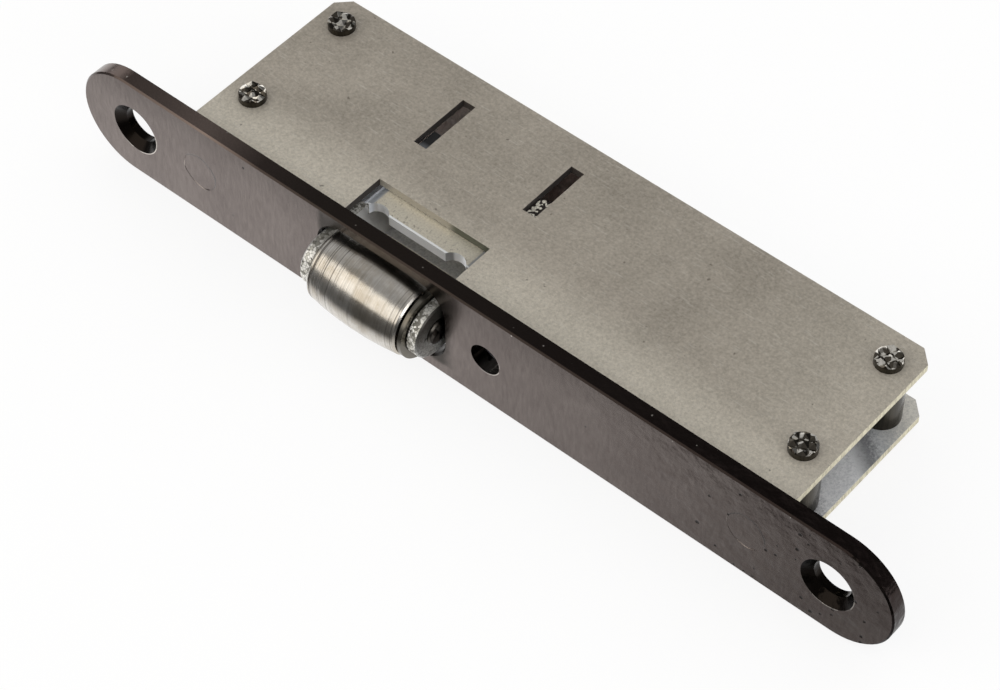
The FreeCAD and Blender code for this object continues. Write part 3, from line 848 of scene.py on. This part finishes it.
def fork_web(finish, grain):
    stretched = finish.laid((1.0, 0.45, 1.0))
    crackle = finish.step(finish.noise(2600.0, 3.0, 0.6, stretched), 0.55, 0.68)
    near_front = finish.step(finish.y, 9.8 * mm, 12.8 * mm, 0.62, 0.22)
    cracked = finish.times(crackle, near_front)
    return finish.mix(cracked, finish.ramp(grain, web_tones), web_crackle)


def fork_lugs(finish, right, chance, crack):
    along = finish.step(finish.y, 22.8 * mm, 27.2 * mm)
    torn = finish.mix(crack, finish.ramp(chance, torn_lug), lug_crack)
    return finish.mix(right, finish.ramp(along, smooth_lug), torn)


def fork_cheeks(finish, right, zinc, crack):
    low = finish.fall(finish.z, -4.0 * mm, 3.5 * mm)
    # Painted shade on the upper cheek, lighter below.
    cheek = finish.mix(crack, finish.mix(low, cheek_shade, cheek_lit), cheek_crack)
    return finish.mix(right, zinc, cheek)


print("web:", web_tones[0][1], "to", web_tones[1][1])


# %% [markdown]
# ## The fork as a whole
# The parts' colours are laid one over another, in an order that lets the small
# ones win. Each torn facet also gets its own height, so that the edge glitters
# when the light moves.

# %% Fork
fork_zinc_tones = [(0.35, grey(0.50)), (0.65, (0.66, 0.66, 0.65))]
bend_tones = [(0.3, (0.40, 0.42, 0.45)), (0.7, (0.58, 0.61, 0.65))]
web_edge_highlight = (0.95, 0.96, 0.96)


def fork_plate():
    finish = Finish("fork_sheet")
    parts = fork_parts(finish)
    cloud = finish.noise(160.0, 4.0, 0.6)
    grain = finish.noise(2800.0, 3.0, 0.7)
    _, chance, height, _ = finish.cells(facet_scale)
    crack = cracks(finish)
    colour = zinc = finish.ramp(cloud, fork_zinc_tones)
    layers = {
        "web": fork_web(finish, grain),
        "bend": finish.ramp(cloud, bend_tones),
        # Painted highlight on the web's front edge.
        "web_edge": web_edge_highlight,
        "cheek": fork_cheeks(finish, parts["right"], zinc, crack),
        "nose": torn_facets(finish, chance, crack),
        "lug": fork_lugs(finish, parts["right"], chance, crack),
    }
    for part, tone in layers.items():
        colour = finish.mix(parts[part], colour, tone)
    torn = finish.either(parts["nose"], finish.both(parts["lug"], parts["right"]))
    plain = finish.bump(grain, 0.006 * mm)
    return finish.set(
        Base_Color=colour,
        Metallic=finish.step(finish.either(torn, parts["web_edge"]), 0.0, 1.0, 0.6, 0.3),
        Roughness=finish.spread(cloud, 0.28, 0.40),
        Normal=finish.bump(finish.times(height, torn), 0.16 * mm, plain),
    )


fork_zinc = fork_plate()
print(tally(fork_zinc))


# %% [markdown]
# ## Turned steel
# Posts, axle and washers were cut on a lathe, so their skin is a stack of fine
# rings. We draw them as a noise that changes quickly along X and hardly at all
# across it. A soft stain over the rings keeps the metal from looking new.

# %% Turned steel
stain_tones = [(0.35, (0.80, 0.76, 0.70)), (0.6, grey(1.0))]


def turned_steel(name, dark, light, ring_depth, rough):
    finish = Finish(name)
    rings = finish.noise(1.0, 4.0, 0.75, finish.laid((3200.0, 6.0, 6.0)))
    bands = finish.noise(1.0, 2.0, 0.5, finish.laid((420.0, 3.0, 3.0)))
    stain = finish.noise(190.0, 4.0, 0.6)
    tone = finish.plus(finish.times(rings, 0.5), finish.times(bands, 0.5))
    steel = finish.ramp(tone, [(0.35, dark), (0.65, light)])
    return finish.set(
        Base_Color=finish.tint(steel, finish.ramp(stain, stain_tones)),
        Metallic=1.0,
        Roughness=finish.spread(stain, rough, rough + 0.1),
        Normal=finish.bump(rings, ring_depth),
    )


post_tones = (0.030, 0.027, 0.022), (0.085, 0.077, 0.062)
axle_tones = (0.060, 0.056, 0.052), (0.14, 0.13, 0.12)
washer_tones = (0.13, 0.12, 0.10), (0.34, 0.32, 0.28)
post_steel = turned_steel("turned_steel", *post_tones, 0.006 * mm, 0.22)
axle_steel = turned_steel("axle_steel", *axle_tones, 0.006 * mm, 0.22)
washer_steel = turned_steel("washer_steel", *washer_tones, 0.008 * mm, 0.24)
print(tally(post_steel), tally(axle_steel), tally(washer_steel))


# %% [markdown]
# ## Crushed steel
# The punch that stakes a post crushes its end into small faces. The sides are
# plain dark, and on the top, cells pick out which small faces get a painted
# glint.

# %% Crushed steel
stake_side_tone = (0.035, 0.030, 0.025)
glint_tones = [(0.50, (0.12, 0.105, 0.085)), (0.62, (0.98, 0.94, 0.86))]


def crushed_steel():
    finish = Finish("crushed_steel")
    stain = finish.noise(900.0, 3.0, 0.6)
    top = finish.step(finish.looks("Z"), 0.25, 0.5)
    _, _, _, blue = finish.cells(1050.0)
    return finish.set(
        # Painted glints: random small faces on the top are bright.
        Base_Color=finish.mix(top, stake_side_tone, finish.ramp(blue, glint_tones)),
        Metallic=1.0,
        Roughness=finish.spread(stain, 0.10, 0.22),
        Normal=finish.bump(stain, 0.004 * mm),
    )


stake_steel = crushed_steel()
print(tally(stake_steel))


# %% [markdown]
# ## The roller's grooves
# The roller is bright, and its rings are deeper and darker near the left end,
# where the tool dwelt, and a little at the right. Two noises that change only
# along X give the deep and the faint grooves, and one more ring stands just
# inside the left end.

# %% Roller grooves
end_ring_inset = 0.75 * mm


def roller_grooves(finish):
    """1 in the dark grooves."""
    x = finish.x
    deep = finish.noise(1.0, 2.0, 0.5, finish.laid((2300.0, 1.5, 1.5)))
    faint = finish.noise(1.0, 2.0, 0.6, finish.laid((6000.0, 8.0, 8.0)))
    near_left = finish.step(x, -25.5 * mm, -19.5 * mm, 1.0, 0.18)
    near_right = finish.step(x, -11.5 * mm, -8.2 * mm, 0.0, 0.7)
    depth = finish.either(near_left, near_right)
    cut_deep = finish.times(finish.step(deep, 0.54, 0.64), depth)
    cut_faint = finish.times(finish.step(faint, 0.56, 0.68), finish.times(depth, 0.75))
    from_ring = finish.minus(x, corners("roller")[0].x + end_ring_inset)
    end_ring = finish.fall(finish.away(from_ring), 0.05 * mm, 0.16 * mm)
    return finish.either(cut_deep, cut_faint, end_ring)


print("end ring", round(end_ring_inset / mm, 2), "mm in")


# %% [markdown]
# ## The roller's steel
# Under the grooves the steel is ringed and banded as on the posts, only much
# brighter, with a faint warm stain.

# %% Roller steel
roller_tones = [(0.36, (0.62, 0.585, 0.53)), (0.62, (0.90, 0.865, 0.81))]
roller_stain = [(0.36, (0.78, 0.74, 0.68)), (0.58, grey(1.0))]
groove_tone = (0.13, 0.11, 0.09)


def roller_skin():
    finish = Finish("roller_steel")
    rings = finish.noise(1.0, 4.0, 0.75, finish.laid((3400.0, 5.0, 5.0)))
    bands = finish.noise(1.0, 2.0, 0.5, finish.laid((360.0, 4.0, 4.0)))
    stain = finish.noise(210.0, 5.0, 0.65)
    groove = roller_grooves(finish)
    tone = finish.plus(finish.times(rings, 0.6), finish.times(bands, 0.4))
    steel = finish.ramp(tone, roller_tones)
    steel = finish.mix(finish.times(groove, 0.85), steel, groove_tone)
    return finish.set(
        Base_Color=finish.tint(steel, finish.ramp(stain, roller_stain)),
        Metallic=1.0,
        Roughness=finish.spread(stain, 0.17, 0.25),
        Normal=finish.bump(finish.invert(groove), 0.03 * mm, finish.bump(rings, 0.010 * mm)),
    )


roller_steel = roller_skin()
print(tally(roller_steel))


# %% [markdown]
# ## Spring wire
# Drawn wire is smooth along its length, with a darker oiled skin. A single
# fine noise is enough for its tone, its gloss and its relief.

# %% Spring wire
wire_tones = [(0.35, (0.22, 0.22, 0.23)), (0.65, (0.36, 0.36, 0.37))]


def spring_wire():
    finish = Finish("spring_steel")
    drawn = finish.noise(700.0, 3.0, 0.6)
    return finish.set(
        Base_Color=finish.ramp(drawn, wire_tones),
        Metallic=1.0,
        Roughness=finish.spread(drawn, 0.28, 0.4),
        Normal=finish.bump(drawn, 0.003 * mm),
    )


wire_steel = spring_wire()
print(tally(wire_steel))


# %% [markdown]
# ## Dressing the solids
# Each solid keeps its shape and only gets a material. A table says which, and
# whatever isn't in the table is a post.

# %% Give each solid its finish
finish_of = {
    "faceplate": dark_lacquer,
    "faceplate_stud_left": dark_lacquer,
    "faceplate_stud_right": dark_lacquer,
    "case_top_plate": case_zinc,
    "case_shell": case_zinc,
    "fork": fork_zinc,
    "roller": roller_steel,
    "washer_left": washer_steel,
    "washer_right": washer_steel,
    "axle": axle_steel,
    "guide_pin": axle_steel,
    "return_spring": wire_steel,
}
for name, solid in nodes.items():
    material = finish_of.get(name, post_steel)
    solid.data.materials.clear()
    solid.data.materials.append(material)
    print(name, "->", material.name)


# %% [markdown]
# ## Return spring
# The spring stays on the case while the fork slides towards it, so a rigid
# spring would cut into the fork. Here it is a helix of round wire that
# stands for the solid one. Its wire is built of rings, each a circle of
# corners.

# %% Rings of wire
wire_radius = 0.6 * mm


def into_object(shape, name):
    """Make an object of a bmesh, faces outwards."""
    bmesh.ops.recalc_face_normals(shape, faces=shape.faces)
    mesh = bpy.data.meshes.new(name)
    shape.to_mesh(mesh)
    shape.free()
    return link(bpy.data.objects.new(name, mesh))


def wire_ring(shape, centre, out, sides):
    """One ring of the wire's corners, in the plane of out and Y."""
    ring = []
    for side in range(sides):
        roll = 2 * math.pi * side / sides
        spoke = out * math.cos(roll) + Vector((0, math.sin(roll), 0))
        ring.append(shape.verts.new(centre + spoke * wire_radius))
    return ring


print("wire is", round(2 * wire_radius / mm, 2), "mm thick")


# %% [markdown]
# ## The coil
# The rings follow a helix about Y. Faces between each ring and the next make
# the tube, and one face closes each end. A curve with a bevel would be less
# work, but leaves less say over its faces.

# %% Coil spring
def coil_spring(turns=4, steps=40, sides=10):
    """A closed tube along a helix about Y, inside the solid spring's box."""
    low, high = corners("return_spring")
    middle = (low + high) / 2
    radius = (high.z - low.z) / 2 - wire_radius
    front, rear = low.y + wire_radius, high.y - wire_radius
    shape = bmesh.new()
    rings = []
    for index in range(turns * steps + 1):
        share = index / (turns * steps)
        angle = 2 * math.pi * turns * share
        out = Vector((math.sin(angle), 0, math.cos(angle)))
        centre = Vector((middle.x, front + (rear - front) * share, middle.z)) + out * radius
        rings.append(wire_ring(shape, centre, out, sides))
    for first, second in zip(rings, rings[1:]):
        for side in range(sides):
            other = (side + 1) % sides
            shape.faces.new((first[side], first[other], second[other], second[side]))
    shape.faces.new(rings[0])
    shape.faces.new(reversed(rings[-1]))
    piece = into_object(shape, "coil_spring")
    for face in piece.data.polygons:
        face.use_smooth = len(face.vertices) == 4
    return piece


spring = coil_spring()
spring.data.materials.append(wire_steel)
print("spring faces:", len(spring.data.polygons))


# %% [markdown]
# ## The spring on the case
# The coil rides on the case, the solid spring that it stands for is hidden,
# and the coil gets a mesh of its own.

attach(spring, "case")
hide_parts("return_spring")
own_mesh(spring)


# %% [markdown]
# ## Staked post ends
# Each post goes through the side plates and its end is crushed with a
# serrated punch. That leaves a small waffle of sharp pyramids, cut off by
# the round rim. They catch the light, so they are real geometry and not a
# painted bump. A square grid is the simplest start: corners outside the rim
# are pulled in to it, and the middle of each cell is raised.

# %% Grid of a cap
rises = (0.1, 0.16, 1.0)


def waffle_grid(shape, place, radius, cells, height):
    """Corners, ridges and tips of the pyramids, pulled in to the round rim."""
    grid = {}
    half = radius / cells
    for row in range(2 * cells + 1):
        for column in range(2 * cells + 1):
            x, y = -radius + column * half, -radius + row * half
            reach = math.hypot(x, y)
            pull = radius / reach if reach > radius else 1.0
            rise = height * rises[row % 2 + column % 2]
            grid[row, column] = shape.verts.new(place @ Vector((x * pull, y * pull, rise)))
    return grid


print("a ridge rises to", rises[1], "of a tip's height")


# %% [markdown]
# ## The shell of a cap
# Eight triangles round each tip make a pyramid. Below them come a short skirt
# and a floor that sits inside the post, so the cap is a closed shell.

# %% Waffle cap
skirt_inset = 0.03 * mm
around = [(-1, -1), (-1, 0), (-1, 1), (0, 1), (1, 1), (1, 0), (1, -1), (0, -1)]


def close_below(shape, down):
    """Add a short skirt and a floor."""
    rim = [edge for edge in shape.edges if edge.is_boundary]
    for item in bmesh.ops.extrude_edge_only(shape, edges=rim)["geom"]:
        if isinstance(item, bmesh.types.BMVert):
            item.co += down
    open_edges = [edge for edge in shape.edges if edge.is_boundary]
    bmesh.ops.contextual_create(shape, geom=open_edges)


def waffle(name, seat, radius, cells, height, turn, out):
    """A cap of pyramids on the seat, facing out."""
    shape = bmesh.new()
    stand = out.to_track_quat("Z", "Y").to_matrix().to_4x4()
    place = Matrix.Translation(seat) @ stand @ Matrix.Rotation(turn, 4, "Z")
    grid = waffle_grid(shape, place, radius, cells, height)
    for row in range(1, 2 * cells, 2):
        for column in range(1, 2 * cells, 2):
            ring = [grid[row + up, column + over] for up, over in around]
            for first, second in zip(ring, ring[1:] + ring[:1]):
                shape.faces.new((grid[row, column], first, second))
    close_below(shape, -out.normalized() * (height * rises[1] + skirt_inset))
    return into_object(shape, name)


print("triangles in a pyramid:", len(around))


# %% [markdown]
# ## Caps on the posts and the axle
# Every post has a cap at both ends, each turned by chance as it was struck.
# The axle's end is peened more lightly: two by two pyramids, and flatter.

# %% Caps on the posts and the axle
stake_radius, stake_cells = 2.5 * mm, 3
peen_radius, peen_cells, peen_height, peen_turn = 2.2 * mm, 2, 0.25 * mm, 0.5

chance = random.Random(7)
for name in [key for key in nodes if key.startswith("post_")]:
    low, high = corners(name)
    middle = (low + high) / 2
    for side, level, up in (("top", high.z, 1), ("bottom", low.z, -1)):
        seat, out = Vector((middle.x, middle.y, level)), Vector((0, 0, up))
        turn = math.radians(chance.uniform(-30, 60))
        cap_name = "stake_%s_%s" % (side, name)
        piece = waffle(cap_name, seat, stake_radius, stake_cells, stake_tip, turn, out)
        piece.data.materials.append(stake_steel)
        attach(piece, "case")
axle_low, axle_high = corners("axle")
seat, out = Vector((axle_high.x, (axle_low.y + axle_high.y) / 2, 0)), Vector((1, 0, 0))
peened = waffle("axle_peened_end", seat, peen_radius, peen_cells, peen_height, peen_turn, out)
peened.data.materials.append(axle_steel)
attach(peened, "fork")


# %% [markdown]
# ## The bench's paper
# The bench is white paper under broad soft lamps. The camera sees white
# behind the lock everywhere, through the Light Path node, and not because
# there is more light on the lock. In reflections the bench glows with a
# painted pool of light: bright close to the lock and fading away from it,
# forwards and to the right. That is what gives the lacquer its dark top edge
# and the roller its bands.

# %% Bench finish
paper_tones = [(0.3, grey(0.86)), (0.7, grey(0.88))]
rightward_fade = [(0.0, grey(1.0)), (0.45, grey(0.84)), (0.75, grey(0.62)), (0.97, grey(0.3))]
bench_glow = 1.03
seen_share = 0.82


def mirrored_bench(finish):
    """The bench's brightness in reflections."""
    y = finish.y
    sideways = finish.ramp(finish.step(finish.x, -0.1, 0.1), rightward_fade)
    forwards = finish.step(y, -31.0 * mm, -12.0 * mm, 0.09, 1.0)
    in_front = finish.fall(y, -4.0 * mm, 12.0 * mm)
    # A painted pool of light, seen in reflections only.
    return finish.mix(in_front, grey(1.0), finish.times(sideways, forwards))


def bench_white():
    finish = Finish("bench_white")
    rays = finish.add("ShaderNodeLightPath").outputs
    glossy = rays["Is Glossy Ray"]
    shade = finish.mix(glossy, grey(1.0), mirrored_bench(finish))
    paper = finish.ramp(finish.noise(30.0, 2.0, 0.5), paper_tones)
    diffuse = finish.add("ShaderNodeBsdfDiffuse", {"Color": paper}).outputs[0]
    glow = finish.add("ShaderNodeEmission", {"Color": shade, "Strength": bench_glow}).outputs[0]
    seen = finish.either(rays["Is Camera Ray"], rays["Is Transmission Ray"])
    share = finish.either(finish.times(seen, seen_share), glossy)
    surface = finish.add("ShaderNodeMixShader", {0: share, 1: diffuse, 2: glow}).outputs[0]
    finish.feed(finish.tree.nodes["Material Output"].inputs["Surface"], surface)
    finish.tree.nodes.remove(finish.shader)
    return finish.material


floor.data.materials.append(bench_white())
print("floor ->", floor.data.materials[0].name)


# %% [markdown]
# ## The room
# The world is white to the camera and an even soft grey light on the lock.
# To a mirror it is a room: lighter in front of the lock than behind it. One
# colour ramp over the direction's Y does that.

# %% World
room_levels = [(0.0, 0.10), (0.35, 0.30), (0.52, 0.42), (0.66, 0.28), (0.75, 0.09), (1.0, 0.06)]
soft_light = 0.8

world = bpy.data.worlds.new("studio")
bpy.context.scene.world = world
world.use_nodes = True
room = Colours(world.node_tree)
heading = room.add("ShaderNodeTexCoord").outputs["Generated"]
front_to_back = room.map_range(room.split(heading)["Y"], -1.0, 1.0)
mirrored = room.ramp(front_to_back, [(spot, grey(level)) for spot, level in room_levels])
rays = room.add("ShaderNodeLightPath").outputs
unseen = room.mix(rays["Is Glossy Ray"], grey(soft_light), mirrored)
seen = room.either(rays["Is Camera Ray"], rays["Is Transmission Ray"])
backdrop = world.node_tree.nodes["Background"]
room.feed(backdrop.inputs["Color"], room.mix(seen, unseen, grey(1.0)))
backdrop.inputs["Strength"].default_value = 1.0
print("room levels:", len(room_levels))


# %% [markdown]
# ## Lamps
# Three softboxes. Each is given by the direction it shines from and by the
# brightness of its face, because that is what shows in polished metal. The
# colours are written as they should render, so the view transform is the
# plain one.

# %% Softboxes
white, warm = grey(1.0), (1.0, 0.95, 0.87)


def softbox(name, towards, distance, width, depth, brightness, colour):
    data = bpy.data.lights.new(name, "AREA")
    data.shape = "RECTANGLE"
    data.size = width
    data.size_y = depth
    data.energy = brightness * math.pi * width * depth
    data.color = colour
    lamp = link(bpy.data.objects.new(name, data))
    lamp.location = Vector(towards).normalized() * distance
    lamp.rotation_euler = (-lamp.location).to_track_quat("-Z", "Y").to_euler()


softbox("key_lamp", (-0.41, -0.78, 0.50), 0.9, 0.95, 0.62, 1.05, warm)
softbox("side_lamp", (0.93, -0.10, 0.26), 0.7, 0.50, 0.28, 2.2, white)
softbox("back_lamp", (-0.80, 0.47, 0.36), 0.9, 0.30, 0.40, 0.7, white)
bpy.context.scene.view_settings.view_transform = "Standard"


# %% [markdown]
